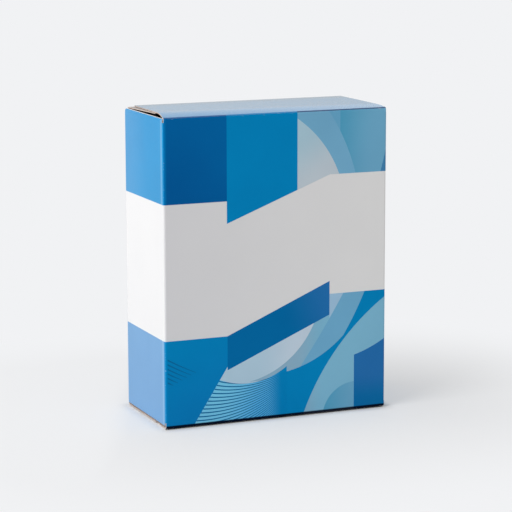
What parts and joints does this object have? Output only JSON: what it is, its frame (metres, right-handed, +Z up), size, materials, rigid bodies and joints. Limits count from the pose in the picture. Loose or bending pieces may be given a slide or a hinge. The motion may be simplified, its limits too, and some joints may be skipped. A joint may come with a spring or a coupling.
{
  "type": "washing powder box",
  "caption": "Folded-board box of washing powder with glued bottom flaps and a loose top flap that lifts over a slot between the inner flaps.",
  "frame": {"origin": "middle of the base, on the floor", "axes": "+Z up, the wide printed front faces -Y and the left side faces -X"},
  "size_m": [0.2102, 0.0962, 0.2736],
  "materials": {
    "white_board": "smooth white-coated folding board with raw edges",
    "powder": "loose white powder",
    "glue": "dried glue",
    "ink_deep_blue": "satin printed ink",
    "ink_mid_blue": "satin printed ink",
    "ink_navy_blue": "satin printed ink",
    "ink_sky_blue": "satin printed ink",
    "ink_soft_blue": "satin printed ink",
    "ink_wave_ground": "satin printed ink",
    "ink_light_blue": "satin printed ink",
    "ink_pale_grey": "satin printed ink",
    "ink_line_blue": "satin printed ink"
  },
  "bodies": {
    "carton": {"carton": "white_board", "washing_powder": "powder", "seam_glue": "glue", "bottom_glue": "glue", "print_wave_lines": "ink_line_blue", "print_deep_blue": "ink_deep_blue", "print_mid_blue": "ink_mid_blue", "print_navy_blue": "ink_navy_blue", "print_sky_blue": "ink_sky_blue", "print_soft_blue": "ink_soft_blue", "print_wave_ground": "ink_wave_ground", "print_light_blue": "ink_light_blue", "print_pale_grey": "ink_pale_grey"},
    "lid": {"lid": "white_board", "lid_print": "ink_mid_blue"}
  },
  "joints": [
    {"name": "lid_hinge", "type": "hinge", "parent": "carton", "child": "lid", "pos_m": [0, -0.04769, 0.26985], "axis": [1, 0, 0], "range_deg": [0, 180]}
  ]
}
